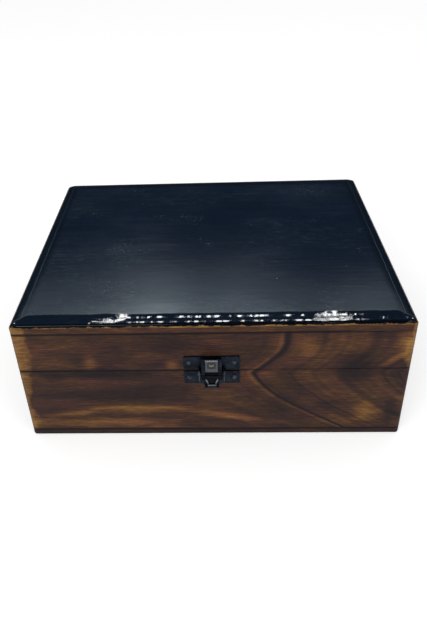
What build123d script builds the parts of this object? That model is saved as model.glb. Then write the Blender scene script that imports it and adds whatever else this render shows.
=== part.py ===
from build123d import *
import math
import os

# A small wooden box with a hinged lid.  Millimetres, +Z up, the latch faces -Y.
# The origin is the middle of the underside.

# Carcass: one box of boards, sawn apart into base and lid
box_width = 203.0
box_depth = 152.0
base_wall_height = 44.3
lid_wall_height = 24.9
wall_thickness = 8.0
panel_thickness = 4.5        # the bottom board and the lid's top board
corner_radius = 2.2          # the sanded upright corners
rim_ease = 0.4               # arris taken off both rims after the saw cut
foot_ease = 0.8              # arris under the bottom board
top_ease = 0.7               # worn arris round the lid's top board
joint_ease = 0.3             # arris along the glued joints, which makes them show as fine grooves

# Poured gloss coat on the lid
coat_thickness = 1.8
coat_inset = 0.9             # bare wood left outside the coat
coat_corner_radius = 3.0
coat_shoulder = 7.5          # how far in the rounded edge begins
coat_skirt = 0.35            # upright part of the edge, at the wood
coat_steps = 5

# Round-head tacks with square shanks, used for the hinges and the latch
nail_shank = 1.0             # across the flats
nail_length = 5.6
nail_head_radius = 1.25
nail_crown_radius = 0.7      # the flat that the hammer leaves on top
nail_head_height = 0.6
nail_clearance = 0.06        # hole over shank, both sides together

# Butt hinges on the back
hinge_length = 25.0
hinge_inset = 38.0           # box side to the middle of a hinge
leaf_height = 10.0
leaf_thickness = 0.8
leaf_corner = 1.0            # cut off the two outer corners
hinge_pin_radius = 0.8
hinge_pin_clearance = 0.05
knuckle_count = 5
knuckle_gap = 0.3            # along the pin, between two knuckles
knuckle_stand_off = 0.3      # rolled knuckle to the wood, so that the rims can turn past it
pin_head_radius = 1.25
pin_head_height = 0.45
hinge_nail_spacing = 15.0
hinge_nail_height = 6.4      # above and below the hinge axis

# Toggle latch on the front
latch_width = 28.8
latch_plate_height = 8.4
latch_plate_thickness = 0.8
latch_plate_corner = 0.7
latch_base_drop = 0.2        # top of the base plate, under the rim
strike_rise = 1.5            # bottom of the strike, over the rim
latch_nail_spacing = 23.4
latch_sheet = 0.6            # ears and lever
ear_outer = 6.7              # half the width over the ears
ear_reach = 4.2
ear_top = 3.2                # above the rim
ear_drop = 6.8               # below the rim
ear_round = 1.3
ear_sweep_reach = 0.7        # cut off the lower front corner
ear_sweep_rise = 0.9
ear_belly_drop = 1.0         # below the rim, where the ear has its full depth
ear_back_gap = 0.35          # ear to the lid's plate
ear_root_drop = 0.4          # top of its join to the base plate, below the rim
sheet_gap = 0.15             # ear to lever
lever_pivot_reach = 2.55     # out from the front of the box
lever_pivot_rise = 0.7       # above the rim
lever_boss_radius = 1.4
rivet_radius = 0.6
rivet_head_radius = 1.1
rivet_head_height = 0.4
pivot_clearance = 0.05
loop_throw = 2.5             # lever pivot to loop pin, the toggle's crank
loop_pin_radius = 0.5
loop_eye_radius = 1.0
loop_sheet = 0.8
loop_bar_height = 1.3
loop_bar_rise = 8.8          # middle of the bar, above the rim
loop_bar_reach = 1.85
loop_window = 7.0
loop_arm_gap = 0.15          # loop to the inside of the lever
hook_width = 6.4
hook_seat_clearance = 0.3
hook_lip_gap = 1.0           # room for the bar's swing in front of it
hook_lip_thickness = 0.75
hook_lip_height = 1.9
hook_bend = 0.3              # cut off the hook's outer corners
hook_chin_rise = 0.9         # lower end of the hook's upright face, above the plate's foot
hook_face_size = 4.2
hook_face_height = 2.6
hook_face_depth = 0.35
hook_face_drop = 1.6         # middle of the sunk face, below the seat
hook_pad_size = 1.5
hook_pad_rise = 0.25
weld_depth = 0.2             # how far joined shapes run into each other
lever_web_reach = 4.3
lever_web_rise = -2.4        # top of the lever's web, from the rim
lever_foot_rise = -7.3       # lowest point of the bill, from the rim
lever_back_gap = 0.4         # lever to the base plate
lever_waist_drop = 1.3       # below the rim, where the sides leave the boss
lever_heel = 1.4             # cut off the lower back corner
lever_toe_rise = 0.7         # lower edge of the sides, above the bill
lever_jaw_half = 3.4         # half the width just above the bill
lever_jaw_rise = 0.6
lever_cheek_half = 4.9       # half the width between jaw and shoulder
lever_cheek_rise = 1.9
lever_shoulder_rise = 4.2
bill_radius = 0.95
bill_width = 4.8
notch_width = 6.0
notch_foot_width = 1.4
notch_depth = 3.2

# Working values
cut_margin = 1.0             # how far a cutting shape runs past what it cuts
same_place = 0.01            # two places closer than this are the same

# Places that follow from the sizes
split_height = panel_thickness + base_wall_height
lid_wall_top = split_height + lid_wall_height
wood_top = lid_wall_top + panel_thickness
front_face = -box_depth / 2
back_face = box_depth / 2
knuckle_radius = hinge_pin_radius + hinge_pin_clearance + leaf_thickness
hinge_axis_y = back_face + knuckle_stand_off + knuckle_radius
hinge_places = {"left": -(box_width / 2 - hinge_inset), "right": box_width / 2 - hinge_inset}
strike_middle = split_height + strike_rise + latch_plate_height / 2
latch_base_middle = split_height - latch_base_drop - latch_plate_height / 2
lever_pivot = (lever_pivot_reach, split_height + lever_pivot_rise)
loop_pivot = (lever_pivot_reach, lever_pivot[1] - loop_throw)
loop_bar = (loop_bar_reach, split_height + loop_bar_rise)
lever_half_width = ear_outer - latch_sheet - sheet_gap
loop_half_width = lever_half_width - latch_sheet - loop_arm_gap

# Latch shapes are drawn from the side (out, up) or from the front (across, up)
latch_side = Plane(origin=(0, front_face, 0), x_dir=(0, -1, 0), z_dir=(-1, 0, 0))
latch_front = Plane(origin=(0, front_face, 0), x_dir=(1, 0, 0), z_dir=(0, -1, 0))


def block(x_range, y_range, z_range):
    """A solid between two limits along each axis."""
    sizes = [high - low for low, high in (x_range, y_range, z_range)]
    middles = [(high + low) / 2 for low, high in (x_range, y_range, z_range)]
    return Pos(*middles) * Box(*sizes)


def from_side(outline, half_width):
    """A side outline of the latch, pulled out both ways from the middle."""
    return extrude(latch_side * outline, amount=half_width, both=True)


def edges_along(solid, axis, x=None, y=None, z=None):
    """The straight edges along one axis whose middle lies at the given places."""
    chosen = []
    for edge in solid.edges().filter_by(axis):
        middle = edge.center()
        asked = [(middle.X, x), (middle.Y, y), (middle.Z, z)]
        if all(place is None or abs(found - place) < same_place for found, place in asked):
            chosen.append(edge)
    return chosen


# Boards

def long_board(face, bottom, top):
    """A full-width board at the front or back, with its outer corners rounded."""
    inner = face - math.copysign(wall_thickness, face)
    board = block((-box_width / 2, box_width / 2), sorted((face, inner)), (bottom, top))
    board = fillet(edges_along(board, Axis.Z, y=face), corner_radius)
    for height in (bottom, top):
        ease = rim_ease if height == split_height else joint_ease
        board = chamfer(edges_along(board, Axis.X, y=face, z=height), ease)
    return board


def end_board(side, bottom, top):
    """A board at the left (-1) or right (1), held between the two long boards."""
    outer = side * box_width / 2
    inner = outer - side * wall_thickness
    depth = box_depth / 2 - wall_thickness
    board = block(sorted((outer, inner)), (-depth, depth), (bottom, top))
    for height in (bottom, top):
        ease = rim_ease if height == split_height else joint_ease
        board = chamfer(edges_along(board, Axis.Y, x=outer, z=height), ease)
    for end in (-depth, depth):
        board = chamfer(edges_along(board, Axis.Z, x=outer, y=end), joint_ease)
    return board


def panel(bottom, lower_ease, upper_ease):
    """A full-size board that closes the carcass, eased round both its faces."""
    outline = RectangleRounded(box_width, box_depth, corner_radius)
    board = extrude(Pos(0, 0, bottom) * outline, panel_thickness)
    for index, ease in ((0, lower_ease), (-1, upper_ease)):
        eased = board.faces().filter_by(Axis.Z).sort_by(Axis.Z)[index]
        board = chamfer(eased.edges(), ease)
    return board


def gloss_coat():
    """The poured coat: a slab whose edge falls off in a quarter ellipse."""
    drop = coat_thickness - coat_skirt
    sections = [(0.0, wood_top)]
    for step in range(coat_steps + 1):
        turn = math.pi / 2 * step / coat_steps
        sections.append((coat_shoulder * (1 - math.cos(turn)),
                         wood_top + coat_skirt + drop * math.sin(turn)))
    outlines = []
    for inset, height in sections:
        shrink = 2 * (coat_inset + inset)
        outline = RectangleRounded(box_width - shrink, box_depth - shrink, coat_corner_radius)
        outlines.append(Pos(0, 0, height) * outline)
    return loft(outlines, ruled=True)


# Nails

def nail():
    """A tack that points down, with the underside of its head at the origin."""
    shank = Pos(0, 0, -nail_length / 2) * Box(nail_shank, nail_shank, nail_length)
    head = Pos(0, 0, nail_head_height / 2) * Cone(nail_head_radius, nail_crown_radius, nail_head_height)
    return shank + head


def nail_hole():
    """The hole that a tack leaves in a board or a plate."""
    width = nail_shank + nail_clearance
    return Pos(0, 0, -nail_length / 2) * Box(width, width, nail_length)


def nail_places(face, thickness, xs, heights):
    """Where nails sit on a plate against the front or back face, with their heads outwards."""
    turn = -90 if face > 0 else 90
    y = face + math.copysign(thickness, face)
    return [Location((x, y, z), (turn, 0, 0)) for x in xs for z in heights]


def place_all(shape_maker, places):
    """Copies of one shape, one at each place."""
    return [place * shape_maker() for place in places]


# Hinges

def knuckle_ranges(first):
    """The stretches along the pin of every other knuckle, from the first one given."""
    length = (hinge_length - (knuckle_count - 1) * knuckle_gap) / knuckle_count
    starts = [-hinge_length / 2 + index * (length + knuckle_gap) for index in range(first, knuckle_count, 2)]
    return [(start, start + length) for start in starts]


def hinge_leaf(x, up):
    """A leaf with rolled knuckles; up is 1 for the lid's leaf and -1 for the base's."""
    first, other = (1, 0) if up > 0 else (0, 1)
    plate = block((x - hinge_length / 2, x + hinge_length / 2), (back_face, back_face + leaf_thickness),
                  sorted((split_height, split_height + up * leaf_height)))
    plate = chamfer(edges_along(plate, Axis.Y, z=split_height + up * leaf_height), leaf_corner)
    room = knuckle_radius + knuckle_stand_off
    for start, end in knuckle_ranges(other):
        plate -= block((x + start - knuckle_gap, x + end + knuckle_gap),
                       (back_face, hinge_axis_y), (split_height - room, split_height + room))
    leaf = plate
    for start, end in knuckle_ranges(first):
        middle = Pos(x + (start + end) / 2, hinge_axis_y, split_height)
        leaf += middle * Rot(0, 90, 0) * Cylinder(knuckle_radius, end - start)
    bore = Cylinder(hinge_pin_radius + hinge_pin_clearance, hinge_length + cut_margin)
    leaf -= Pos(x, hinge_axis_y, split_height) * Rot(0, 90, 0) * bore
    for hole in place_all(nail_hole, hinge_nail_places(x, up)):
        leaf -= hole
    return leaf


def hinge_nail_places(x, up):
    """The two nails of one leaf."""
    xs = [x - hinge_nail_spacing / 2, x + hinge_nail_spacing / 2]
    return nail_places(back_face, leaf_thickness, xs, [split_height + up * hinge_nail_height])


def hinge_pin(x):
    """A pin through all the knuckles, peened over at both ends."""
    pin = Cylinder(hinge_pin_radius, hinge_length)
    head = Cylinder(pin_head_radius, pin_head_height)
    for side in (-1, 1):
        pin += Pos(0, 0, side * (hinge_length + pin_head_height) / 2) * head
    return Pos(x, hinge_axis_y, split_height) * Rot(0, 90, 0) * pin


# Latch

def latch_nail_places(height):
    """The two nails of one latch plate."""
    xs = [-latch_nail_spacing / 2, latch_nail_spacing / 2]
    return nail_places(front_face, latch_plate_thickness, xs, [height])


def latch_plate(middle):
    """A flat plate against the front, with its two nail holes."""
    outline = Pos(0, middle) * RectangleRounded(latch_width, latch_plate_height, latch_plate_corner)
    plate = extrude(latch_front * outline, latch_plate_thickness)
    for hole in place_all(nail_hole, latch_nail_places(middle)):
        plate -= hole
    return plate


def strike():
    """The lid's plate, with a box-shaped hook that has a seat for the loop's bar behind its lip."""
    foot = strike_middle - latch_plate_height / 2
    seat = loop_bar[1] - loop_bar_height / 2 - hook_seat_clearance
    tip = seat + hook_seat_clearance + hook_lip_height
    lip_inner = loop_bar_reach + loop_sheet / 2 + hook_lip_gap
    lip_outer = lip_inner + hook_lip_thickness
    root = latch_plate_thickness - weld_depth
    outline = make_face(Polyline(
        (root, foot), (latch_plate_thickness, foot), (lip_outer, foot + hook_chin_rise),
        (lip_outer, tip - hook_bend), (lip_outer - hook_bend, tip), (lip_inner, tip),
        (lip_inner, seat), (root, seat), (root, foot)))
    hook = from_side(outline, hook_width / 2)
    sunk = latch_front * Pos(0, seat - hook_face_drop, lip_outer - hook_face_depth)
    hook -= sunk * Pos(0, 0, hook_face_depth) * Box(hook_face_size, hook_face_height, 2 * hook_face_depth)
    pad = Box(hook_pad_size, hook_pad_size, hook_pad_rise + weld_depth)
    hook += sunk * Pos(0, 0, (hook_pad_rise - weld_depth) / 2) * pad
    return latch_plate(strike_middle) + hook


def latch_base():
    """The base's plate, with two ears that carry the lever."""
    rim = split_height
    foot = rim - ear_drop
    root = latch_plate_thickness - weld_depth
    inner = latch_plate_thickness + ear_back_gap
    outline = Polyline(
        (root, foot), (latch_plate_thickness, foot), (ear_reach - ear_sweep_reach, foot + ear_sweep_rise),
        (ear_reach, rim - ear_belly_drop), (ear_reach, rim + ear_top), (inner, rim + ear_top), (inner, rim),
        (latch_plate_thickness, rim - ear_root_drop), (root, rim - ear_root_drop), (root, foot))
    ear_face = make_face(outline)
    ear_face = fillet(ear_face.vertices().sort_by(Axis.Y)[-2:], ear_round)
    ears = from_side(ear_face, ear_outer) - from_side(ear_face, ear_outer - latch_sheet)
    ears -= cross_pin(lever_pivot, rivet_radius, -ear_outer, ear_outer)
    return latch_plate(latch_base_middle) + ears


def lever_rivets():
    """Two short rivets, each through one ear and one side of the lever."""
    start = lever_half_width - latch_sheet
    rivets = []
    for side in (-1, 1):
        shank = cross_pin(lever_pivot, rivet_radius, side * start, side * ear_outer)
        head = cross_pin(lever_pivot, rivet_head_radius, side * ear_outer,
                         side * (ear_outer + rivet_head_height))
        rivets.append(shank + head)
    return rivets


def cross_pin(place, radius, start, end):
    """A round pin across the latch, between two distances from the middle."""
    reach, height = place
    centre = Pos((start + end) / 2, front_face - reach, height)
    return centre * Rot(0, 90, 0) * Cylinder(radius, abs(end - start))


def lever():
    """A bent-sheet lever: two sides on the rivets, and a web that ends in a curled bill."""
    foot = split_height + lever_foot_rise
    sides = from_side(lever_side(foot), lever_half_width)
    sides -= from_side(lever_side(foot), lever_half_width - latch_sheet)
    web = from_side(lever_web(foot), lever_half_width)
    body = (sides + web) & extrude(latch_front * lever_shield(foot), lever_web_reach + 4 * bill_radius)
    body -= extrude(latch_front * lever_notch(), lever_web_reach + cut_margin)
    body -= cross_pin(lever_pivot, rivet_radius + pivot_clearance, -ear_outer, ear_outer)
    return body - cross_pin(loop_pivot, loop_pin_radius, -ear_outer, ear_outer)


def lever_side(foot):
    """One side of the lever, seen from the side."""
    back = latch_plate_thickness + lever_back_gap
    reach, height = lever_pivot
    waist = split_height - lever_waist_drop
    toe = foot + lever_toe_rise
    outline = make_face(Polyline(
        (reach - lever_boss_radius, height), (back, waist), (back, toe + lever_heel),
        (back + lever_heel, toe), (lever_web_reach, toe), (lever_web_reach, waist),
        (reach + lever_boss_radius, height), (reach - lever_boss_radius, height)))
    return outline + Pos(*lever_pivot) * Circle(lever_boss_radius)


def lever_web(foot):
    """The lever's front sheet and its curled bill, seen from the side."""
    outer_radius = bill_radius + latch_sheet / 2
    bend = foot + outer_radius
    top = split_height + lever_web_rise
    sheet = Pos(lever_web_reach - latch_sheet / 2, (bend + top) / 2) * Rectangle(latch_sheet, top - bend)
    ring = Circle(outer_radius) - Circle(outer_radius - latch_sheet)
    ring -= Pos(0, outer_radius / 2) * Rectangle(2 * outer_radius, outer_radius)
    return sheet + Pos(lever_web_reach - latch_sheet + outer_radius, bend) * ring


def lever_shield(foot):
    """The lever seen from the front: straight sides that narrow to the bill."""
    right = [(bill_width / 2, foot), (lever_jaw_half, foot + lever_jaw_rise),
             (lever_cheek_half, foot + lever_cheek_rise), (lever_half_width, foot + lever_shoulder_rise),
             (lever_half_width, split_height + ear_top)]
    left = [(-across, up) for across, up in reversed(right)]
    return make_face(Polyline(*right, *left, right[0]))


def lever_notch():
    """The notch in the top of the lever's front sheet, which shows the loop behind it."""
    top = split_height + lever_web_rise
    half, foot_half = notch_width / 2, notch_foot_width / 2
    return make_face(Polyline((-half, top), (half, top), (foot_half, top - notch_depth),
                              (-foot_half, top - notch_depth), (-half, top)))


def loop():
    """A frame of sheet: a bar for the hook, two arms, and an eye at the foot of each arm."""
    foot = Vector(*loop_pivot)
    head = Vector(*loop_bar)
    lean = math.degrees(math.atan2(head.X - foot.X, head.Y - foot.Y))
    length = (head - foot).length + loop_bar_height / 2
    strip = Pos(foot.X, foot.Y) * Rot(0, 0, -lean) * Pos(0, length / 2) * Rectangle(loop_sheet, length)
    frame = from_side(strip + Pos(*loop_pivot) * Circle(loop_eye_radius), loop_half_width)
    frame -= block((-loop_window / 2, loop_window / 2), (front_face - lever_web_reach, front_face),
                   (loop_pivot[1] - 2 * loop_eye_radius, loop_bar[1] - loop_bar_height / 2))
    return frame - cross_pin(loop_pivot, loop_pin_radius + pivot_clearance, -ear_outer, ear_outer)


def drilled(board, places):
    """A board with a hole for each nail."""
    for hole in place_all(nail_hole, places):
        board -= hole
    return board


def all_hinge_nails(up):
    """The nail places of both hinges on the lid or the base."""
    return [place for x in hinge_places.values() for place in hinge_nail_places(x, up)]


def build():
    """Every piece by its name."""
    base_range = (panel_thickness, split_height)
    lid_range = (split_height, lid_wall_top)
    strike_nails = latch_nail_places(strike_middle)
    base_nails = latch_nail_places(latch_base_middle)
    pieces = {
        "base_bottom_board": panel(0, foot_ease, joint_ease),
        "base_front_board": drilled(long_board(front_face, *base_range), base_nails),
        "base_back_board": drilled(long_board(back_face, *base_range), all_hinge_nails(-1)),
        "base_left_board": end_board(-1, *base_range),
        "base_right_board": end_board(1, *base_range),
        "lid_top_board": panel(lid_wall_top, joint_ease, top_ease),
        "lid_front_board": drilled(long_board(front_face, *lid_range), strike_nails),
        "lid_back_board": drilled(long_board(back_face, *lid_range), all_hinge_nails(1)),
        "lid_left_board": end_board(-1, *lid_range),
        "lid_right_board": end_board(1, *lid_range),
        "lid_gloss_coat": gloss_coat(),
        "hinge_lid_nails": Compound(place_all(nail, all_hinge_nails(1))),
        "hinge_base_nails": Compound(place_all(nail, all_hinge_nails(-1))),
        "latch_strike": strike(),
        "latch_strike_nails": Compound(place_all(nail, strike_nails)),
        "latch_base_plate": latch_base(),
        "latch_base_nails": Compound(place_all(nail, base_nails)),
        "latch_lever_rivets": Compound(lever_rivets()),
        "latch_lever": lever(),
        "latch_loop_pin": cross_pin(loop_pivot, loop_pin_radius, -lever_half_width, lever_half_width),
        "latch_loop": loop(),
    }
    for side, x in hinge_places.items():
        pieces[side + "_hinge_lid_leaf"] = hinge_leaf(x, 1)
        pieces[side + "_hinge_base_leaf"] = hinge_leaf(x, -1)
        pieces[side + "_hinge_pin"] = hinge_pin(x)
    return pieces


os.makedirs("parts", exist_ok=True)
for name, piece in build().items():
    export_step(piece, "parts/" + name + ".step")
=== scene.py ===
import math
import bmesh
import bpy
from mathutils import Matrix, Vector, noise


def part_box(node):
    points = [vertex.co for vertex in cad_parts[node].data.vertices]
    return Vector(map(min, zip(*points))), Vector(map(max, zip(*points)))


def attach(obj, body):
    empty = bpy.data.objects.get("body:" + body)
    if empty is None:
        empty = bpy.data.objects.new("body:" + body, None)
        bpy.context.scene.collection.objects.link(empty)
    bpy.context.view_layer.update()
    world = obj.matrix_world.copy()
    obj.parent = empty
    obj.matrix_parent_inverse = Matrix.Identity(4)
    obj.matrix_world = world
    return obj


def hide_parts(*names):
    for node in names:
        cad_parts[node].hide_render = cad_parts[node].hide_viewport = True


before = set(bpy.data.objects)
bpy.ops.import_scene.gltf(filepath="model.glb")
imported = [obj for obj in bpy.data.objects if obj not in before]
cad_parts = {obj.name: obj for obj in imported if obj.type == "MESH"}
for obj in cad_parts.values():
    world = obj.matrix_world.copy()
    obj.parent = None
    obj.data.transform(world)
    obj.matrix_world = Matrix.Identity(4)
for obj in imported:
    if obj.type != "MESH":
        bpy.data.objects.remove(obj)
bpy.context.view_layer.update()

mm = 0.001
shot = {"width": 427, "height": 640}       # the photograph's frame, in pixels


# helpers for node trees, where a value is a number, a colour or another node's output
def fill(tree, node, inputs):
    for name, value in inputs.items():
        if isinstance(value, bpy.types.NodeSocket):
            tree.links.new(value, node.inputs[name])
        else:
            node.inputs[name].default_value = value


def addNode(tree, kind, inputs=None, **settings):
    made = tree.nodes.new(kind)
    for name, value in settings.items():
        setattr(made, name, value)
    fill(tree, made, inputs or {})
    return made


def addMath(tree, operation, first, second=0.0, third=0.0):
    inputs = {0: first, 1: second, 2: third}
    return addNode(tree, "ShaderNodeMath", inputs, operation=operation).outputs[0]


def plus(tree, first, second):
    return addMath(tree, "ADD", first, second)


def minus(tree, first, second):
    return addMath(tree, "SUBTRACT", first, second)


def times(tree, first, second):
    return addMath(tree, "MULTIPLY", first, second)


def over(tree, first, second):
    return addMath(tree, "DIVIDE", first, second)


def larger(tree, first, second):
    return addMath(tree, "MAXIMUM", first, second)


def size(tree, value):
    return addMath(tree, "ABSOLUTE", value)


def apart(tree, first, second):
    return size(tree, minus(tree, first, second))


def squares(tree, first, second):
    return plus(tree, times(tree, first, first), times(tree, second, second))


def weighted(tree, *parts):
    # the sum of pairs of a value and its weight
    total = times(tree, *parts[0])
    for part in parts[1:]:
        total = plus(tree, total, times(tree, *part))
    return total


def addVector(tree, operation, first, second=(0, 0, 0)):
    inputs = {0: first, 1: second}
    return addNode(tree, "ShaderNodeVectorMath", inputs, operation=operation).outputs[0]


def splitAxes(tree, place):
    return addNode(tree, "ShaderNodeSeparateXYZ", {0: place}).outputs


def joinAxes(tree, x, y, z):
    return addNode(tree, "ShaderNodeCombineXYZ", {0: x, 1: y, 2: z}).outputs[0]


def addNoise(tree, place, often, detail=3.0, roughness=0.5, distortion=0.0):
    # often is how many times the pattern repeats in one unit of each axis
    spread = addVector(tree, "MULTIPLY", place, often)
    return addNode(tree, "ShaderNodeTexNoise", {"Vector": spread, "Scale": 1.0, "Detail": detail,
                   "Roughness": roughness, "Distortion": distortion}).outputs["Fac"]


def addRange(tree, value, low, high, outLow=0.0, outHigh=1.0, smooth=True):
    kind = "SMOOTHSTEP" if smooth else "LINEAR"
    return addNode(tree, "ShaderNodeMapRange", {"Value": value, "From Min": low, "From Max": high,
                   "To Min": outLow, "To Max": outHigh}, interpolation_type=kind).outputs["Result"]


def addMix(tree, share, first, second, blend="MIX"):
    inputs = {0: share, 6: first, 7: second}
    return addNode(tree, "ShaderNodeMix", inputs, data_type="RGBA", blend_type=blend).outputs[2]


def mixValues(tree, share, first, second):
    return addNode(tree, "ShaderNodeMix", {0: share, 2: first, 3: second}).outputs[0]


def addRamp(tree, value, stops):
    made = addNode(tree, "ShaderNodeValToRGB", {"Fac": value})
    points = made.color_ramp.elements
    for index, (place, colour) in enumerate(stops):
        point = points[index] if index < 2 else points.new(place)
        point.position = place
        point.color = colour
    return made.outputs["Color"]


def startGroup(name, inputs, outputs):
    # sockets are given as a name and its kind
    tree = bpy.data.node_groups.new(name, "ShaderNodeTree")
    for side, sockets in (("INPUT", inputs), ("OUTPUT", outputs)):
        for label, kind in sockets.items():
            tree.interface.new_socket(name=label, in_out=side, socket_type="NodeSocket" + kind)
    return tree, addNode(tree, "NodeGroupInput").outputs, addNode(tree, "NodeGroupOutput")


def useGroup(tree, group, inputs):
    return addNode(tree, "ShaderNodeGroup", inputs, node_tree=group).outputs


def rgb(red, green, blue):
    return (red, green, blue, 1.0)


# grain of a stained and scorched softwood board
grain = {
    "stain": ((0.20, rgb(0.011, 0.0064, 0.0070)), (0.40, rgb(0.030, 0.0150, 0.0122)),
              (0.56, rgb(0.062, 0.0280, 0.0150)), (0.74, rgb(0.138, 0.0620, 0.0215)),
              (1.00, rgb(0.300, 0.1620, 0.0480))),         # tone and colour
    "bare": (rgb(0.110, 0.054, 0.019), rgb(0.440, 0.245, 0.062)),      # where the stain is rubbed off
    "tints": (rgb(1.03, 0.92, 1.12), rgb(1.01, 1.01, 0.92)),           # redder and yellower places
    "wander": ((0.010, 0.035, 0.035), 2.0), "wanderReach": 16.0,       # of level growth lines
    "hue": ((0.028, 0.075, 0.075), 2.0),
    "pores": ((0.13, 2.4, 2.4), 1.0),
    "layers": {               # noise, and how far it moves the tone
        "rings": (((0.012, 0.19, 0.19), 3.0, 0.50), 0.40),
        "fibres": (((0.11, 1.5, 1.5), 4.0, 0.72), 0.72),
        "hairs": (((0.18, 3.0, 3.0), 3.0, 0.65), 0.46),
        "clouds": (((0.030, 0.060, 0.060), 4.0, 0.62), 0.62),
    },
    "poreStrength": 0.45, "poreDepth": 0.5,
    "roughness": 0.42, "roughnessSwing": 0.25,
}


def makeGrainGroup():
    # Place is in millimetres: X along the grain, Y across it, Z into the board
    tree, given, made = startGroup("woodGrain",
        {"Place": "Vector", "Rings": "Float", "Follow Rings": "Float", "Tone": "Float", "Wear": "Float",
         "Seed": "Float"}, {"Color": "Color", "Roughness": "Float", "Height": "Float"})
    shift = joinAxes(tree, given["Seed"], given["Seed"], given["Seed"])
    shifted = addVector(tree, "ADD", given["Place"], shift)
    axes = splitAxes(tree, shifted)
    wander = minus(tree, addNoise(tree, shifted, *grain["wander"]), 0.5)
    straight = plus(tree, axes[1], times(tree, wander, grain["wanderReach"]))
    figured = plus(tree, given["Rings"], given["Seed"])
    grown = joinAxes(tree, axes[0], mixValues(tree, given["Follow Rings"], straight, figured), axes[2])
    tone = plus(tree, given["Tone"], 0.5)
    layers = {}
    for name, (pattern, reach) in grain["layers"].items():
        layers[name] = addNoise(tree, grown if name == "rings" else shifted, *pattern)
        tone = plus(tree, tone, times(tree, minus(tree, layers[name], 0.5), reach))
    fibres, hairs = layers["fibres"], layers["hairs"]
    bareTone = addRange(tree, weighted(tree, (fibres, 0.8), (hairs, 0.6)), 0.50, 0.88)
    hue = addRange(tree, addNoise(tree, shifted, *grain["hue"]), 0.36, 0.64)
    pores = addRange(tree, addNoise(tree, shifted, *grain["pores"]), 0.60, 0.74)
    body = addRamp(tree, tone, grain["stain"])
    body = addMix(tree, 1.0, body, addMix(tree, hue, *grain["tints"]), "MULTIPLY")
    body = addMix(tree, given["Wear"], body, addMix(tree, bareTone, *grain["bare"]))
    darkest = grain["stain"][0][1]
    body = addMix(tree, times(tree, pores, grain["poreStrength"]), body, darkest)
    rough = plus(tree, times(tree, fibres, grain["roughnessSwing"]), grain["roughness"])
    height = weighted(tree, (fibres, 0.6), (hairs, 0.4))
    height = minus(tree, height, times(tree, pores, grain["poreDepth"]))
    fill(tree, made, {"Color": body, "Roughness": rough, "Height": height})
    return tree


# growth rings of a flat-sawn board: level lines at the left, nested Vs that open to the right
flame = {
    "tipX": 11.5, "tipZ": 46.5, "blend": 4.0,
    "upperReach": 16.5, "upperRise": 22.0,
    "lowerScale": 0.22, "lowerPower": 1.45,
    "wobble": ((0.05, 0.05, 0.05), 2.0), "wobbleReach": 3.4,
    "finer": (50.0, 42.0, 0.85, 1.5),          # the lines get thinner below the tip
    "ringScale": 0.9,
    "lines": ((-10.3, 2.5, 0.74), (-29.0, 2.8, 0.24), (-55.0, 9.0, 0.20), (-76.0, 2.2, 0.22),
              (-84.0, 1.8, 0.26)),             # ring, half width, strength
    "lightHalf": 2.6,                          # half width of the light line beside the first dark one
}


def makeFigureGroup():
    tree, given, made = startGroup("flameFigure", {"Place": "Vector"},
                                   {"Rings": "Float", "Dark Lines": "Float", "Light Lines": "Float"})
    wobble = minus(tree, addNoise(tree, given["Place"], *flame["wobble"]), 0.5)
    wobble = times(tree, wobble, flame["wobbleReach"])
    axes = splitAxes(tree, given["Place"])
    rise = minus(tree, plus(tree, axes[2], wobble), flame["tipZ"])
    above = over(tree, larger(tree, rise, 0.0), flame["upperRise"])
    quarter = times(tree, addMath(tree, "MINIMUM", above, 1.0), math.pi / 2)
    above = times(tree, addMath(tree, "SINE", quarter), flame["upperReach"])
    below = larger(tree, times(tree, rise, -1.0), 0.0)
    below = times(tree, addMath(tree, "POWER", below, flame["lowerPower"]), flame["lowerScale"])
    run = addMath(tree, "SMOOTH_MAX", minus(tree, axes[0], flame["tipX"]), 0.0, flame["blend"])
    rings = minus(tree, plus(tree, above, below), run)
    finer = addRange(tree, axes[2], *flame["finer"])
    dark = 0.0
    for ring, half, strength in flame["lines"]:
        away = times(tree, apart(tree, rings, ring), finer)
        dark = larger(tree, dark, addRange(tree, away, half, 0.0, 0.0, strength))
    beside = apart(tree, rings, flame["lines"][0][0] + flame["lightHalf"])
    fill(tree, made, {"Rings": times(tree, rings, flame["ringScale"]), "Dark Lines": dark,
                      "Light Lines": addRange(tree, beside, flame["lightHalf"], 0.0)})
    return tree


# masks that follow the box itself, in millimetres
boxEdges = {
    "frontShare": 2.2,                         # the rub ends sooner on the side boards
    "ragged": ((0.12, 0.12, 0.08), 3.0), "raggedReach": (0.34, 0.66, 0.35, 1.45, False),
    "unrubbed": (0.2, 1.1),                    # a dark line is left on the very corner
    "seams": {"base_front_board": 200.0, "lid_top_board": 60.0, "lid_front_board": 12.0},
    # each seam is at that board's foot, and dark up to that far right
    "seamHalf": (1.15, 0.45), "seamFade": 20.0, "seamRest": 0.3,
    "wall": (7.4, 7.9),                        # deeper than this is inside the box
}


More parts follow.
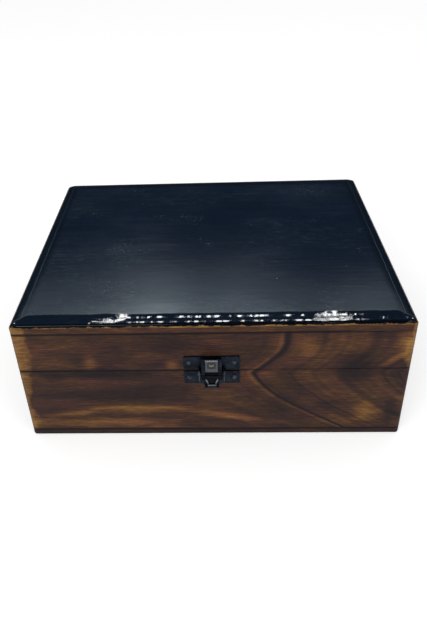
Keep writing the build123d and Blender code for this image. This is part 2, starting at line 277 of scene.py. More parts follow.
def makeBoxEdgeGroup():
    tree, given, made = startGroup("boxEdges", {"Place": "Vector", "Rub Width": "Float"},
                                   {"Rubbed": "Float", "Seams": "Float", "Inside": "Float"})
    low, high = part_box("base_bottom_board")
    axes = splitAxes(tree, given["Place"])
    sideGap = minus(tree, (high.x - low.x) / 2 / mm, size(tree, axes[0]))
    frontGap = minus(tree, (high.y - low.y) / 2 / mm, size(tree, axes[1]))
    away = plus(tree, sideGap, times(tree, frontGap, boxEdges["frontShare"]))
    ragged = addNoise(tree, given["Place"], *boxEdges["ragged"])
    reach = times(tree, given["Rub Width"], addRange(tree, ragged, *boxEdges["raggedReach"]))
    rubbed = addRange(tree, over(tree, away, reach), 2.0, 0.0)
    rubbed = times(tree, rubbed, addRange(tree, sideGap, *boxEdges["unrubbed"]))
    dark = 0.0
    for node, right in boxEdges["seams"].items():
        gap = apart(tree, axes[2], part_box(node)[0].z / mm)
        fade = addRange(tree, axes[0], right, right + boxEdges["seamFade"], 1.0, boxEdges["seamRest"])
        dark = larger(tree, dark, times(tree, addRange(tree, gap, *boxEdges["seamHalf"]), fade))
    deep = addRange(tree, addMath(tree, "MINIMUM", sideGap, frontGap), *boxEdges["wall"])
    fill(tree, made, {"Rubbed": rubbed, "Seams": dark, "Inside": deep})
    return tree


def makeSpeckGroup():
    # dust and pin-holes: round specks of uneven size, and how strongly each shows
    tree, given, made = startGroup("specks", {"Place": "Vector", "Spacing": "Float", "Share": "Float",
                                              "Size": "Float"}, {"Mask": "Float"})
    cells = addNode(tree, "ShaderNodeTexVoronoi", {"Vector": given["Place"],
                    "Scale": over(tree, 1.0, given["Spacing"])}).outputs
    chance = addNode(tree, "ShaderNodeSeparateColor", {0: cells["Color"]}).outputs
    radius = times(tree, given["Size"], plus(tree, 0.4, chance[1]))
    dot = addRange(tree, over(tree, cells["Distance"], radius), 1.0, 0.3)
    chosen = addMath(tree, "LESS_THAN", chance[0], given["Share"])
    fill(tree, made, {"Mask": times(tree, dot, chosen)})
    return tree


grainGroup = makeGrainGroup()
figureGroup = makeFigureGroup()
edgeGroup = makeBoxEdgeGroup()
speckGroup = makeSpeckGroup()
print("shader groups made")


def startMaterial(name):
    material = bpy.data.materials.new(name)
    material.use_nodes = True
    tree = material.node_tree
    tree.nodes.clear()
    shader = addNode(tree, "ShaderNodeBsdfPrincipled")
    addNode(tree, "ShaderNodeOutputMaterial", {"Surface": shader.outputs[0]})
    coords = addNode(tree, "ShaderNodeTexCoord").outputs["Object"]
    return material, tree, shader, coords


def inMillimetres(tree, coords):
    return addNode(tree, "ShaderNodeMapping", {"Vector": coords, "Scale": (1000, 1000, 1000)}).outputs[0]


def addBump(tree, shader, height, distance, strength):
    bump = addNode(tree, "ShaderNodeBump", {"Height": height, "Distance": distance, "Strength": strength})
    tree.links.new(bump.outputs[0], shader.inputs["Normal"])


# lighter and darker places of the front boards, in millimetres; a lean is how far the patch climbs
# for each step to the right
frontPatches = (
    {"at": (-62.5, 0.0, 54.5), "reach": (6.0, 1.0, 9.0), "tone": 0.23},
    {"at": (-20.5, 0.0, 52.5), "reach": (5.5, 1.0, 5.0), "tone": 0.24},
    {"at": (-72.0, 0.0, 18.0), "reach": (24.0, 1.0, 4.4), "tone": 0.28, "lean": 0.16},
    {"at": (-36.0, 0.0, 20.4), "reach": (30.0, 1.0, 4.4), "tone": 0.25},
    {"at": (14.0, 0.0, 13.5), "reach": (38.0, 1.0, 3.0), "tone": 0.26, "lean": -0.20},
    {"at": (-55.0, 0.0, 10.0), "reach": (50.0, 1.0, 5.0), "tone": 0.35},
    {"at": (-60.0, 0.0, 30.5), "reach": (46.0, 1.0, 6.0), "tone": -0.14},
    {"at": (-62.0, 0.0, 46.2), "reach": (46.0, 1.0, 5.0), "tone": -0.38},
    {"at": (-30.0, 0.0, 33.0), "reach": (24.0, 1.0, 8.0), "tone": -0.10},
    {"at": (-80.0, 0.0, 62.0), "reach": (30.0, 1.0, 12.0), "tone": 0.10},
    {"at": (-18.0, 0.0, 66.0), "reach": (24.0, 1.0, 7.0), "tone": -0.07},
    {"at": (28.0, 0.0, 45.5), "reach": (6.0, 1.0, 4.0), "tone": 0.16},
    {"at": (50.0, 0.0, 60.5), "reach": (7.0, 1.0, 12.0), "tone": 0.16},
    {"at": (74.0, 0.0, 49.0), "reach": (13.0, 1.0, 15.0), "tone": -0.20},
    {"at": (66.0, 0.0, 24.0), "reach": (18.0, 1.0, 10.0), "tone": -0.10},
    {"at": (81.5, 0.0, 16.5), "reach": (9.5, 1.0, 11.0), "tone": 0.26},
    {"at": (94.5, 0.0, 18.0), "reach": (4.5, 1.0, 13.0), "tone": -0.18},
    {"at": (96.5, 0.0, 67.0), "reach": (7.0, 1.0, 9.0), "tone": 0.22},
    {"at": (93.0, 0.0, 55.5), "reach": (8.0, 1.0, 3.6), "tone": 0.22, "lean": 0.6},
)
# grain gives the box's axes along the grain, across it and into the board
boards = {
    "boardFront": {"nodes": ("base_front_board", "lid_front_board"), "grain": "XZY", "tone": -0.02,
                   "seed": 11.0, "figured": True, "patches": frontPatches},
    "boardBack": {"nodes": ("base_back_board", "lid_back_board"), "grain": "XZY", "tone": 0.02,
                  "seed": 47.0},
    "boardSide": {"nodes": ("base_left_board", "base_right_board", "lid_left_board", "lid_right_board"),
                  "grain": "YZX", "tone": 0.00, "seed": 83.0},
    "boardTopEdge": {"nodes": ("lid_top_board",), "grain": "XYZ", "tone": 0.02, "seed": 21.0,
                     "rubbedFrom": 77.9},
    "boardBottom": {"nodes": ("base_bottom_board",), "grain": "XYZ", "tone": -0.04, "seed": 59.0,
                    "rub": 1.2, "darkBelow": 4.3},
}
finish = {
    "rub": 5.0, "rubByHeight": (42.0, 56.0, 0.58, 1.10),   # wider on the lid than on the base
    "rightward": (0.0, 60.0), "rightLoss": (66.0, 44.0, 0.35, 0.75),      # and narrower at the right
    "rubbedTone": 0.31, "rubbedWear": 0.45, "insideTone": 0.11,
    "patchOutline": ((0.05, 0.3, 0.3), 3.0),
    "footTone": 0.16, "footBlend": 0.3,                    # the bottom board's dark edge
    "topWear": (0.9, 0.8), "topRagged": 1.2,               # the top board's bare upper edge
    "drips": ((0.30, 0.30, 0.02), 3.0, 0.6), "dripFall": 1.7, "dripLevel": (78.72, 78.80),
    "dripColour": rgb(0.0040, 0.0052, 0.0075),             # the coat ran a little way down over it
    "darkLine": 0.50, "lightLine": 0.12,
    "seam": 0.85, "seamColour": rgb(0.010, 0.007, 0.007),
    "specular": 0.12, "bumpHeight": 0.12 * mm, "bump": 0.6,
}


def nearPatch(tree, place, patch, outline):
    # 1 in the middle of a patch, and 0 beyond its ragged outline
    offset = addVector(tree, "SUBTRACT", place, patch["at"])
    offset = addVector(tree, "MULTIPLY", offset, (1, 0, 1))
    if "lean" in patch:
        climb = times(tree, splitAxes(tree, offset)[0], patch["lean"])
        offset = addVector(tree, "SUBTRACT", offset, joinAxes(tree, 0.0, 0.0, climb))
    share = addVector(tree, "DIVIDE", offset, patch["reach"])
    far = addNode(tree, "ShaderNodeVectorMath", {0: share}, operation="LENGTH").outputs["Value"]
    return addRange(tree, plus(tree, far, times(tree, outline, 0.8)), 1.5, 0.5)


def makeWood(name, board):
    material, tree, shader, coords = startMaterial(name)
    place = inMillimetres(tree, coords)
    axes = splitAxes(tree, place)
    height = axes[2]
    loss = times(tree, addRange(tree, axes[0], *finish["rightward"]),
                 addRange(tree, height, *finish["rightLoss"]))
    width = times(tree, addRange(tree, height, *finish["rubByHeight"]), board.get("rub", finish["rub"]))
    width = times(tree, width, minus(tree, 1.0, loss))
    edges = useGroup(tree, edgeGroup, {"Place": place, "Rub Width": width})
    wear = times(tree, edges["Rubbed"], finish["rubbedWear"])
    outline = addNoise(tree, place, *finish["patchOutline"])
    tone = board["tone"]
    for patch in board.get("patches", ()):
        tone = plus(tree, tone, times(tree, nearPatch(tree, place, patch, outline), patch["tone"]))
    tone = plus(tree, tone, times(tree, edges["Rubbed"], finish["rubbedTone"]))
    tone = plus(tree, tone, times(tree, edges["Inside"], finish["insideTone"]))
    if "darkBelow" in board:
        foot = (board["darkBelow"], board["darkBelow"] - finish["footBlend"], 0.0, finish["footTone"])
        tone = minus(tree, tone, addRange(tree, height, *foot))
    if "rubbedFrom" in board:
        blend, most = finish["topWear"]
        level = plus(tree, height, times(tree, outline, finish["topRagged"]))
        start = board["rubbedFrom"]
        wear = larger(tree, wear, addRange(tree, level, start, start + blend, 0.0, most))
    alongGrain = joinAxes(tree, *(axes["XYZ".index(axis)] for axis in board["grain"]))
    inputs = {"Place": alongGrain, "Seed": board["seed"], "Wear": wear}
    if "figured" in board:
        figure = useGroup(tree, figureGroup, {"Place": place})
        inputs.update({"Rings": figure["Rings"], "Follow Rings": 1.0})
        tone = minus(tree, tone, times(tree, figure["Dark Lines"], finish["darkLine"]))
        tone = plus(tree, tone, times(tree, figure["Light Lines"], finish["lightLine"]))
    inputs["Tone"] = tone
    face = useGroup(tree, grainGroup, inputs)
    seams = times(tree, edges["Seams"], finish["seam"])
    colour = addMix(tree, seams, face["Color"], finish["seamColour"])
    if "rubbedFrom" in board:
        drip = plus(tree, height, times(tree, addNoise(tree, place, *finish["drips"]), finish["dripFall"]))
        drip = addRange(tree, drip, *finish["dripLevel"])
        colour = addMix(tree, drip, colour, finish["dripColour"])
    fill(tree, shader, {"Base Color": colour, "Roughness": face["Roughness"],
                        "Specular IOR Level": finish["specular"]})
    addBump(tree, shader, face["Height"], finish["bumpHeight"], finish["bump"])
    return material


# runs in the coat's front edge: places along it and half widths in millimetres
edgeRuns = ({"middle": -54.0, "half": 6.0, "lean": -0.40}, {"middle": 57.0, "half": 9.5, "lean": 0.0})
gloss = {
    "patterns": {
        "cloud": ((0.014, 0.022, 0.020), 4.0, 0.60),
        "brush": ((0.016, 0.70, 0.70), 4.0, 0.65),
        "thread": ((0.17, 0.30, 0.30), 2.0),
        "threadPlaces": ((0.030, 0.045, 0.045), 2.0),
        "strokes": ((0.13, 0.55, 0.55), 4.0, 0.70),
        "strokePlaces": ((0.020, 0.034, 0.034), 2.0),
        "orangePeel": ((0.16, 0.22, 0.22), 2.0),
        "dimples": ((0.30, 0.20, 0.20), 3.0, 0.60),
    },
    "dust": {"Spacing": 5.0, "Share": 0.26, "Size": 0.06},
    "fineDust": {"Spacing": 1.7, "Share": 0.14, "Size": 0.10},
    "rolled": (9.0, 6.0),                      # the rounded edge, in millimetres from the outside
    "rim": (1.3, 0.5, 0.0, 0.75),              # the dark lower edge
    "runFront": (-67.5, -71.0),
    "navy": (rgb(0.0058, 0.0120, 0.0260), rgb(0.0110, 0.0200, 0.0390)),
    "strokeColour": rgb(0.022, 0.034, 0.048), "edgeColour": rgb(0.0042, 0.0090, 0.0165),
    "markColour": rgb(0.12, 0.13, 0.14), "rimColour": rgb(0.001, 0.001, 0.0012),
    "strokeStrength": 0.75, "edgeStrength": 0.7,
    "dustShows": 0.45, "scuffsShow": 0.15, "fineShows": 0.14,
    "haze": (0.38, 0.70, 0.06, 0.18), "markHaze": 0.25,    # roughness of the flat top, and more at marks
    "edgeRoughness": 0.03, "ior": 1.5,
    "bumpHeight": 0.12 * mm, "bump": 0.6,
}


def makeCoat():
    material, tree, shader, coords = startMaterial("navyGloss")
    place = inMillimetres(tree, coords)
    axes = splitAxes(tree, place)
    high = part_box("lid_gloss_coat")[1]
    gap = addMath(tree, "MINIMUM", minus(tree, high.x / mm, size(tree, axes[0])),
                  minus(tree, high.y / mm, size(tree, axes[1])))
    rolled = addRange(tree, gap, *gloss["rolled"])
    runs = 0.0
    for run in edgeRuns:
        away = apart(tree, axes[0], run["middle"])
        runs = larger(tree, runs, addRange(tree, away, run["half"], run["half"] * 0.3))
    runs = times(tree, runs, addRange(tree, axes[1], *gloss["runFront"]))
    pattern = {name: addNoise(tree, place, *values) for name, values in gloss["patterns"].items()}
    dust = useGroup(tree, speckGroup, {"Place": place, **gloss["dust"]})["Mask"]
    fine = useGroup(tree, speckGroup, {"Place": place, **gloss["fineDust"]})["Mask"]
    thread = addRange(tree, apart(tree, pattern["thread"], 0.5), 0.010, 0.0)
    scuffs = times(tree, thread, addRange(tree, pattern["threadPlaces"], 0.57, 0.66))
    strokes = times(tree, addRange(tree, pattern["strokes"], 0.46, 0.70),
                    addRange(tree, pattern["strokePlaces"], 0.46, 0.62))
    depth = weighted(tree, (pattern["cloud"], 0.6), (pattern["brush"], 0.4))
    marks = larger(tree, times(tree, dust, gloss["dustShows"]), times(tree, scuffs, gloss["scuffsShow"]))
    marks = larger(tree, marks, times(tree, fine, gloss["fineShows"]))
    colour = addMix(tree, addRange(tree, depth, 0.40, 0.66), *gloss["navy"])
    colour = addMix(tree, times(tree, strokes, gloss["strokeStrength"]), colour, gloss["strokeColour"])
    colour = addMix(tree, times(tree, rolled, gloss["edgeStrength"]), colour, gloss["edgeColour"])
    colour = addMix(tree, marks, colour, gloss["markColour"])
    colour = addMix(tree, addRange(tree, gap, *gloss["rim"]), colour, gloss["rimColour"])
    haze = times(tree, plus(tree, dust, scuffs), gloss["markHaze"])
    haze = plus(tree, addRange(tree, depth, *gloss["haze"]), haze)
    fill(tree, shader, {"Base Color": colour, "IOR": gloss["ior"],
                        "Roughness": mixValues(tree, rolled, haze, gloss["edgeRoughness"])})
    specks = plus(tree, dust, times(tree, fine, 0.5))
    height = weighted(tree, (pattern["brush"], 0.10), (pattern["orangePeel"], 0.26), (specks, 0.35))
    height = times(tree, height, minus(tree, 1.0, times(tree, rolled, 0.75)))
    flow = weighted(tree, (rolled, 0.07), (runs, 0.25))
    height = plus(tree, height, times(tree, pattern["dimples"], flow))
    addBump(tree, shader, height, gloss["bumpHeight"], gloss["bump"])
    return material


steel = {
    "cloud": ((0.22, 0.22, 0.22), 4.0, 0.6), "grit": ((1.6, 1.6, 1.6), 4.0, 0.6),
    "specks": {"Spacing": 0.9, "Share": 0.3, "Size": 0.25}, "speckColour": rgb(0.008, 0.008, 0.008),
    "metallic": 0.85, "specular": 0.15, "bumpHeight": 0.06 * mm,
    # shadow is painted shade for hollows, and bright is a painted highlight for the notch's edges
    "shadow": rgb(0.002, 0.002, 0.003), "bright": rgb(0.26, 0.28, 0.32),
    # painted highlight for the front edges of the lever's side cheeks
    "sideEdgeHighlight": rgb(0.085, 0.100, 0.125),
}
latchSteel = {"base": rgb(0.0045, 0.0068, 0.0115), "worn": rgb(0.0165, 0.0230, 0.0350),
              "roughness": 0.40, "bump": 0.5}
nailSteel = {"base": rgb(0.026, 0.031, 0.040), "worn": rgb(0.085, 0.097, 0.120),
             "roughness": 0.36, "bump": 0.4}
# the V-shaped notch of the lever, in millimetres: painted highlights on its two slanting edges and painted
# shade in the opening between them
notch = {"foot": 43.1, "top": 47.2, "half": 1.9, "slope": 0.30, "line": 0.50, "front": -79.4,
         "footOverlap": 0.3, "share": 0.9}
# where handling has worn the black off the hook's face, and painted highlights and painted shade
wornSpotsAndPaintedLight = (
    {"at": (0.0, -80.0, 54.6), "reach": (3.4, 1.2, 4.6), "share": 0.9, "colour": rgb(0.095, 0.102, 0.115)},
    # painted shade in the hook's recess
    {"at": (0.0, -80.0, 56.2), "reach": (2.3, 1.2, 1.75), "share": 0.8, "colour": rgb(0.024, 0.026, 0.030)},
    # painted highlight on the hook's tip
    {"at": (0.0, -79.8, 55.6), "reach": (1.3, 0.6, 0.8), "share": 0.8, "colour": rgb(0.26, 0.23, 0.17)},
    # painted highlight on the lever's curled lip
    {"at": (0.0, -80.8, 42.2), "reach": (2.4, 0.55, 0.7), "share": 0.9, "colour": rgb(0.28, 0.30, 0.33)},
    # painted highlight along the hook's top edge
    {"at": (0.0, -80.0, 58.8), "reach": (3.4, 1.2, 0.34), "share": 0.9, "colour": rgb(0.34, 0.36, 0.39)},
    # painted highlights on the front edges of the lever's side cheeks
    {"at": (-6.4, -80.2, 48.3), "reach": (0.45, 0.5, 5.0), "share": 0.6, "colour": steel["sideEdgeHighlight"]},
    {"at": (6.4, -80.2, 48.3), "reach": (0.45, 0.5, 5.0), "share": 0.4, "colour": steel["sideEdgeHighlight"]},
    # painted shade in the hollow under the lever
    {"at": (0.0, -76.6, 44.0), "reach": (5.2, 0.8, 5.4), "share": 0.95, "colour": steel["shadow"]},
)


def onSpot(tree, place, spot):
    # 1 inside a box round the spot, and 0 outside it
    offset = addVector(tree, "SUBTRACT", place, spot["at"])
    far = splitAxes(tree, addVector(tree, "ABSOLUTE", addVector(tree, "DIVIDE", offset, spot["reach"])))
    return addRange(tree, larger(tree, larger(tree, far[0], far[1]), far[2]), 1.0, 0.9)


def notchHighlightAndShadeMasks(tree, place):
    # painted highlights on the slanting edges, and painted shade in the opening between them
    axes = splitAxes(tree, place)
    slant = times(tree, minus(tree, axes[2], notch["foot"]), notch["slope"])
    beside = minus(tree, size(tree, axes[0]), plus(tree, slant, notch["half"]))
    edges = addRange(tree, size(tree, beside), notch["line"], notch["line"] * 0.5)
    opening = addRange(tree, beside, 0.0, -notch["line"])
    ends = ((2, notch["foot"] - notch["footOverlap"], 1), (2, notch["top"], -1), (1, notch["front"], -1))
    for axis, end, side in ends:
        past = times(tree, minus(tree, axes[axis], end), side)
        edges = times(tree, edges, addRange(tree, past, 0.0, 0.2))
        opening = times(tree, opening, addRange(tree, past, 0.5, 0.7))
    return edges, opening


def makeMetal(name, look, spots=()):
    material, tree, shader, coords = startMaterial(name)
    place = inMillimetres(tree, coords)
    cloud = addNoise(tree, place, *steel["cloud"])
    grit = addNoise(tree, place, *steel["grit"])
    specks = useGroup(tree, speckGroup, {"Place": place, **steel["specks"]})["Mask"]
    tone = weighted(tree, (cloud, 0.6), (grit, 0.4))
    colour = addMix(tree, addRange(tree, tone, 0.40, 0.66), look["base"], look["worn"])
    colour = addMix(tree, times(tree, specks, 0.5), colour, steel["speckColour"])
    uneven = addRange(tree, grit, 0.3, 0.6, 0.7, 1.0)
    # worn patches, painted highlights and painted shade on the latch
    for spot in spots:
        share = times(tree, onSpot(tree, place, spot), uneven)
        colour = addMix(tree, times(tree, share, spot["share"]), colour, spot["colour"])
    if spots:
        # painted shade in the notch's opening and painted highlights on its edges
        edges, opening = notchHighlightAndShadeMasks(tree, place)
        colour = addMix(tree, times(tree, opening, notch["share"]), colour, steel["shadow"])
        colour = addMix(tree, times(tree, edges, notch["share"]), colour, steel["bright"])
    rough = addRange(tree, tone, 0.35, 0.7, look["roughness"] + 0.12, look["roughness"] - 0.06)
    fill(tree, shader, {"Base Color": colour, "Roughness": rough, "Metallic": steel["metallic"],
                        "Specular IOR Level": steel["specular"]})
    addBump(tree, shader, plus(tree, grit, specks), steel["bumpHeight"], look["bump"])
    return material


def dress(node, material):
    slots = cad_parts[node].data.materials
    slots.clear()
    slots.append(material)


for name, board in boards.items():
    stainedWood = makeWood(name, board)
    for node in board["nodes"]:
        dress(node, stainedWood)
darkMetal = makeMetal("blackenedSteel", latchSteel, wornSpotsAndPaintedLight)
nailMetal = makeMetal("nailSteel", nailSteel)
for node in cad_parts:
    if "nails" in node or "rivets" in node:
        dress(node, nailMetal)
    elif "latch" in node or "hinge" in node:
        dress(node, darkMetal)
print("wood and metal made")


def addObject(name, bm, material):
    mesh = bpy.data.meshes.new(name)
    bm.to_mesh(mesh)
    bm.free()
    mesh.materials.append(material)
    made = bpy.data.objects.new(name, mesh)
    bpy.context.scene.collection.objects.link(made)
    return made


def addPiece(name, bm, material, body, slotName, *nodes):
    piece = addObject(name, bm, material)
    for face in piece.data.polygons:
        face.use_smooth = True
    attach(piece, body)
    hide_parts(*nodes)


# the poured coat; a pair is a size and how often it repeats in a millimetre
coat = {
    "columns": 270, "rows": 150,
    "crowding": 0.55,            # how much closer the grid's lines stand near the edges
    "cornerRadius": 4.5 * mm,
    "shoulder": 7.5 * mm,        # where the rounded edge begins to fall
    "skirt": 0.45 * mm,          # upright part at the wood
    "unevenness": (0.07, 0.045),
    "wave": (0.022 * mm, 0.16), "ripple": (0.012 * mm, 0.55),
    "waveReach": 1.6,            # in shoulders, from the outside
    "sink": 0.25,                # of the wave's height, so that it stays inside the box
    "runGain": 0.08,             # how much wider the rounded edge gets at a run
    "ragged": 0.35 * mm,         # how far the lower edge draws back from the wood's edge
    "raggedNear": 0.5 * mm,
}


def crowd(value):
    # moves a grid line of -1 to 1 towards the nearer end
    if abs(value) >= 1:
        return math.copysign(1.0, value)
    return value * (1 + coat["crowding"]) - coat["crowding"] * value ** 3


def swing(place, pair):
    most, often = pair
    return noise.noise(place * often) * most


def makeCoatMesh():
    low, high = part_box("lid_gloss_coat")
    halfX, halfY = (high.x - low.x) / 2, (high.y - low.y) / 2
    radius, skirt = coat["cornerRadius"], coat["skirt"]
    bm = bmesh.new()
    bmesh.ops.create_grid(bm, x_segments=coat["columns"], y_segments=coat["rows"], size=1.0)
    for v in bm.verts:
        x = crowd(v.co.x) * halfX
        y = crowd(v.co.y) * halfY
        overX, overY = abs(x) - (halfX - radius), abs(y) - (halfY - radius)
        gap = min(halfX - abs(x), halfY - abs(y))
        if overX > 0 and overY > 0:          # squares off the corner's grid onto a quarter circle
            longest = max(overX, overY)
            shrink = longest / math.hypot(overX, overY)
            x = math.copysign(halfX - radius + overX * shrink, x)
            y = math.copysign(halfY - radius + overY * shrink, y)
            gap = radius - longest
        place = Vector((x, y, 0)) / mm
        wave = swing(place, coat["wave"]) + swing(place, coat["ripple"])
        shoulder = coat["shoulder"] * (1 + swing(place, coat["unevenness"]))
        for run in edgeRuns:
            away = (place.x - run["middle"]) / run["half"]
            if y < 0 and abs(away) < 1:
                shoulder *= 1 + coat["runGain"] * math.cos(away * math.pi / 2)
        share = min(1.0, gap / shoulder)
        fall = math.sqrt(max(0.0, 1 - (1 - share) ** 2))
        height = low.z + skirt + (high.z - low.z - skirt) * fall
        near = 1 - min(1.0, gap / (coat["waveReach"] * shoulder))
        height += wave * near * fall - coat["sink"] * coat["wave"][0] * near
        v.co = Vector((x, y, min(height, high.z)))
    rim = [e for e in bm.edges if e.is_boundary]
    lowered = bmesh.ops.extrude_edge_only(bm, edges=rim)["geom"]
    for v in [g for g in lowered if isinstance(g, bmesh.types.BMVert)]:
        place = v.co / mm
        draw = 0.5 + 0.5 * noise.noise(place * 0.21) + 0.35 * noise.noise(place * 0.8)
        draw = coat["ragged"] * max(0.0, draw)
        if halfX - abs(v.co.x) < coat["raggedNear"]:
            v.co.x -= math.copysign(draw, v.co.x)
        if halfY - abs(v.co.y) < coat["raggedNear"]:
            v.co.y -= math.copysign(draw, v.co.y)
        v.co.z = low.z
    bmesh.ops.contextual_create(bm, geom=[e for e in bm.edges if e.is_boundary])
    bmesh.ops.recalc_face_normals(bm, faces=bm.faces)
    addPiece("gloss_coat_poured", bm, makeCoat(), "lid", "gloss_coat", "lid_gloss_coat")


makeCoatMesh()
print("coat made")


camera = {
    "turn": -3.01, "tilt": 29.69, "roll": -2.76,      # degrees: to the right, down, clockwise
    "place": (3.9 * mm, -300.2 * mm, 275.5 * mm),
    "focal": 594.0, "middle": (188.5, 204.5),         # pixels of the photograph's frame
}
studio = {
    "floorSize": 12.0, "paleFloor": rgb(0.80, 0.80, 0.80), "floorLift": 0.45, "floorRoughness": 0.9,
    "soft": 0.60,                          # how strongly the white room lights matt surfaces
    "lamps": (                             # name, place, aim, width, depth, watts
        ("keySoftbox", (-0.55, -1.05, 0.90), (0.0, -0.05, 0.04), 0.9, 0.7, 7.0),
        ("fillSoftbox", (0.9, -0.9, 0.7), (0.0, -0.05, 0.04), 0.7, 0.7, 3.0),
    ),
    # the cards round the box
    "roofHeight": 1.0, "roofBack": 1.4, "sideFront": -0.5, "backFoot": 0.1, "backTop": 0.845,
    "backDistance": 0.8, "sideDistance": 1.5, "frontDistance": 1.3,
    "cloth": rgb(0.015, 0.016, 0.018),
}
# what the gloss mirrors; elevations are in degrees, as seen from the coat's front edge
gleam = {
    "edge": (-75 * mm, 80 * mm),           # distance from the middle, height
    "strength": 24.0,
    "rows": ((70.0, 6.0, 0.53), (49.0, 2.6, 0.57)),        # elevation, half height, gaps
    "from": -48.0, "to": 74.0, "fade": 6.0,                # where the rows begin and end, in millimetres
    "gapPattern": {"Scale": 0.34, "Detail": 1.0}, "rowShift": 90.0, "gapBlend": 0.03,
    "scribble": ((0.30, 0.30, 0.30), 1.0, 0.5, 0.8), "scribbleLine": (0.050, 0.035),
    "edgeStep": 0.15,                      # millimetres of edge per degree of elevation
    "runElevation": 61.0, "runHalf": 22.0,
    "single": (81.6, 96.0), "singleHalf": 0.9,             # lone spots further right
    "cornerGlints": {"x": 1.0, "y": 0.465, "reach": (0.16, 0.09), "strength": 14.0},
    "haze": ((0.55, 0.02), (0.62, 0.07), (0.665, 0.24), (0.711, 0.60), (0.738, 0.68), (0.772, 0.90),
             (0.800, 2.2), (0.845, 2.6)),  # height on the back card, strength
    "hazeBase": 0.80, "hazeLobes": ((-0.14, 0.12, 0.75), (0.06, 0.20, 0.15), (0.36, 0.12, 0.40)),
    "hazeEnds": ((0.04, 0.26, 0.055), (-0.20, -0.42, 0.035)),      # from, to, how much lower it fades
    "tint": rgb(0.80, 0.93, 1.0),
    "sideLine": {"x": 0.37, "z": 0.457, "lean": 0.715, "half": 0.016, "strength": 0.9,
                 "fade": (0.46, 0.66, 0.15, 1.0)},         # seen only in the coat's left and right edges
}


def whiteShare(tree):
    # 1 for what the camera, gloss and glass see directly
    path = addNode(tree, "ShaderNodeLightPath").outputs
    seen = larger(tree, path["Is Camera Ray"], path["Is Glossy Ray"])
    return larger(tree, seen, path["Is Transmission Ray"])


def makeRoom():
    world = bpy.data.worlds.new("whiteRoom")
    bpy.context.scene.world = world
    world.use_nodes = True
    tree = world.node_tree
    tree.nodes.clear()
    strength = plus(tree, studio["soft"], times(tree, whiteShare(tree), 1 - studio["soft"]))
    back = addNode(tree, "ShaderNodeBackground", {"Color": rgb(1, 1, 1), "Strength": strength})
    addNode(tree, "ShaderNodeOutputWorld", {"Surface": back.outputs[0]})


def makeFloor():
    material, tree, shader, _ = startMaterial("paleFloor")
    lift = times(tree, whiteShare(tree), studio["floorLift"])
    fill(tree, shader, {"Base Color": studio["paleFloor"], "Roughness": studio["floorRoughness"],
                        "Specular IOR Level": 0.0, "Emission Color": rgb(1, 1, 1),
                        "Emission Strength": lift})
    bm = bmesh.new()
    bmesh.ops.create_grid(bm, x_segments=2, y_segments=2, size=studio["floorSize"] / 2)
    floor = addObject("floor", bm, material)


def makeLamps():
    for name, place, aim, width, depth, watts in studio["lamps"]:
        lamp = bpy.data.lights.new(name, "AREA")
        lamp.shape = "RECTANGLE"
        lamp.size = width
        lamp.size_y = depth
        lamp.energy = watts
        holder = bpy.data.objects.new(name, lamp)
        holder.location = place
        holder.rotation_euler = (Vector(aim) - Vector(place)).to_track_quat("-Z", "Y").to_euler()
        bpy.context.scene.collection.objects.link(holder)


def addCard(name, place, turn, width, height, material):
    # a flat card that only mirror reflections see
    bm = bmesh.new()
    bmesh.ops.create_grid(bm, x_segments=1, y_segments=1, size=0.5)
    bmesh.ops.scale(bm, vec=(width, height, 1), verts=bm.verts)
    if turn:
        quarter = Matrix.Rotation(math.pi / 2, 3, turn)
        bmesh.ops.rotate(bm, cent=(0, 0, 0), matrix=quarter, verts=bm.verts)
    bmesh.ops.translate(bm, vec=place, verts=bm.verts)
    card = addObject(name, bm, material)
    for ray in ("camera", "diffuse", "shadow", "transmission"):
        setattr(card, "visible_" + ray, False)


def startCardMaterial(name, light=rgb(1, 1, 1)):
    material, tree, shader, coords = startMaterial(name)
    fill(tree, shader, {"Base Color": studio["cloth"], "Roughness": 1.0, "Specular IOR Level": 0.0,
                        "Emission Color": light})
    return material, tree, shader, splitAxes(tree, coords)


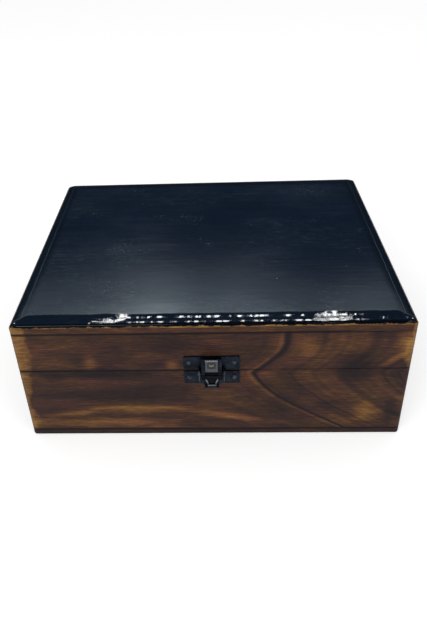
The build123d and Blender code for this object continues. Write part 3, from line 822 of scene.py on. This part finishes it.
def makeRoofMaterial():
    # two broken rows of lamps, a blotch for each run and lone spots, all placed by where the coat's
    # front edge mirrors them
    material, tree, shader, axes = startCardMaterial("lampRows")
    edgeY, edgeZ = gleam["edge"]
    rise = studio["roofHeight"] - edgeZ
    eye = Vector(camera["place"]) - Vector((0, edgeY, edgeZ))
    behind = minus(tree, axes[1], edgeY)
    path = addMath(tree, "SQRT", squares(tree, behind, rise))
    spread = plus(tree, over(tree, path, eye.length), 1.0)
    along = over(tree, over(tree, axes[0], spread), mm)
    elevation = times(tree, addMath(tree, "ARCTAN2", rise, behind), 180 / math.pi)
    lit = 0.0
    for index, (middle, half, gaps) in enumerate(gleam["rows"]):
        row = addRange(tree, apart(tree, elevation, middle), half, half * 0.8)
        shifted = plus(tree, along, gleam["rowShift"] * index)
        broken = addNode(tree, "ShaderNodeTexNoise", {"W": shifted, **gleam["gapPattern"]},
                         noise_dimensions="1D").outputs["Fac"]
        row = times(tree, row, addRange(tree, broken, gaps, gaps + gleam["gapBlend"]))
        row = times(tree, row, addRange(tree, along, gleam["from"], gleam["from"] + gleam["fade"]))
        row = times(tree, row, addRange(tree, along, gleam["to"], gleam["to"] - gleam["fade"]))
        lit = larger(tree, lit, row)
    flat = joinAxes(tree, along, times(tree, elevation, gleam["edgeStep"]), 0.0)
    scribble = apart(tree, addNoise(tree, flat, *gleam["scribble"]), 0.5)
    scribble = addRange(tree, scribble, *gleam["scribbleLine"])
    fromMiddle = minus(tree, elevation, gleam["runElevation"])
    upward = over(tree, fromMiddle, gleam["runHalf"])
    for run in edgeRuns:
        sideways = minus(tree, minus(tree, along, run["middle"]), times(tree, fromMiddle, run["lean"]))
        far = squares(tree, over(tree, sideways, run["half"]), upward)
        lit = larger(tree, lit, times(tree, addRange(tree, far, 1.0, 0.85), scribble))
    level = addRange(tree, size(tree, upward), 0.30, 0.20)
    for middle in gleam["single"]:
        spot = addRange(tree, apart(tree, along, middle), gleam["singleHalf"], 0.0)
        lit = larger(tree, lit, times(tree, spot, level))
    glint = gleam["cornerGlints"]
    glintX = over(tree, minus(tree, size(tree, axes[0]), glint["x"]), glint["reach"][0])
    glintY = over(tree, minus(tree, axes[1], glint["y"]), glint["reach"][1])
    glow = addRange(tree, squares(tree, glintX, glintY), 1.0, 0.8, 0.0, glint["strength"])
    strength = larger(tree, times(tree, lit, gleam["strength"]), glow)
    fill(tree, shader, {"Emission Strength": strength})
    return material


def makeHazeMaterial():
    # a soft light that fades downwards, brighter in three places
    material, tree, shader, axes = startCardMaterial("softHaze", gleam["tint"])
    height = axes[2]
    for start, end, drop in gleam["hazeEnds"]:
        height = minus(tree, height, addRange(tree, axes[0], start, end, 0.0, drop))
    strength = 0.0
    for (low, dim), (high, bright) in zip(gleam["haze"], gleam["haze"][1:]):
        strength = plus(tree, strength, addRange(tree, height, low, high, 0.0, bright - dim, False))
    swell = gleam["hazeBase"]
    for middle, reach, more in gleam["hazeLobes"]:
        swell = plus(tree, swell, addRange(tree, apart(tree, axes[0], middle), reach, 0.0, 0.0, more))
    line = gleam["sideLine"]
    middle = plus(tree, times(tree, minus(tree, axes[2], line["z"]), line["lean"]), line["x"])
    away = apart(tree, size(tree, axes[0]), middle)
    bright = times(tree, addRange(tree, away, line["half"], 0.0, 0.0, line["strength"]),
                   addRange(tree, axes[2], *line["fade"]))
    fill(tree, shader, {"Emission Strength": plus(tree, times(tree, strength, swell), bright)})
    return material


def makeCards():
    cloth = startCardMaterial("blackCloth")[0]
    roof, side = studio["roofHeight"], studio["sideDistance"]
    front, back = -studio["frontDistance"], studio["roofBack"]
    addCard("roofCard", (0, (front + back) / 2, roof), None, 2 * side, back - front, makeRoofMaterial())
    foot, top = studio["backFoot"], studio["backTop"]
    addCard("backCard", (0, studio["backDistance"], (foot + top) / 2), "X", 2 * side, top - foot,
            makeHazeMaterial())
    addCard("frontCard", (0, front, roof / 2), "X", 2 * side, roof, cloth)
    front = studio["sideFront"]
    for name, x in (("leftCard", -side), ("rightCard", side)):
        addCard(name, (x, (front + back) / 2, roof / 2), "Y", roof, back - front, cloth)


def makeCamera():
    yaw, pitch, roll = (math.radians(camera[k]) for k in ("turn", "tilt", "roll"))
    ahead = Vector((math.sin(yaw) * math.cos(pitch), math.cos(yaw) * math.cos(pitch), -math.sin(pitch)))
    right = Vector((math.cos(yaw), -math.sin(yaw), 0))
    up = right.cross(ahead)
    rolledRight = math.cos(roll) * right + math.sin(roll) * up
    rolledUp = -math.sin(roll) * right + math.cos(roll) * up
    lens = bpy.data.cameras.new("shotCamera")
    holder = bpy.data.objects.new("shotCamera", lens)
    turn = Matrix((rolledRight, rolledUp, -ahead)).transposed()
    holder.matrix_world = Matrix.Translation(camera["place"]) @ turn.to_4x4()
    long = max(shot["width"], shot["height"])
    lens.sensor_width = 36.0
    lens.lens = camera["focal"] / long * lens.sensor_width
    lens.shift_x = (shot["width"] / 2 - camera["middle"][0]) / long
    lens.shift_y = -(shot["height"] / 2 - camera["middle"][1]) / long
    lens.clip_start = 0.01
    bpy.context.scene.collection.objects.link(holder)
    bpy.context.scene.camera = holder


makeRoom()
makeFloor()
makeLamps()
makeCards()
makeCamera()
bpy.context.scene.view_settings.view_transform = "Standard"
print("studio made")
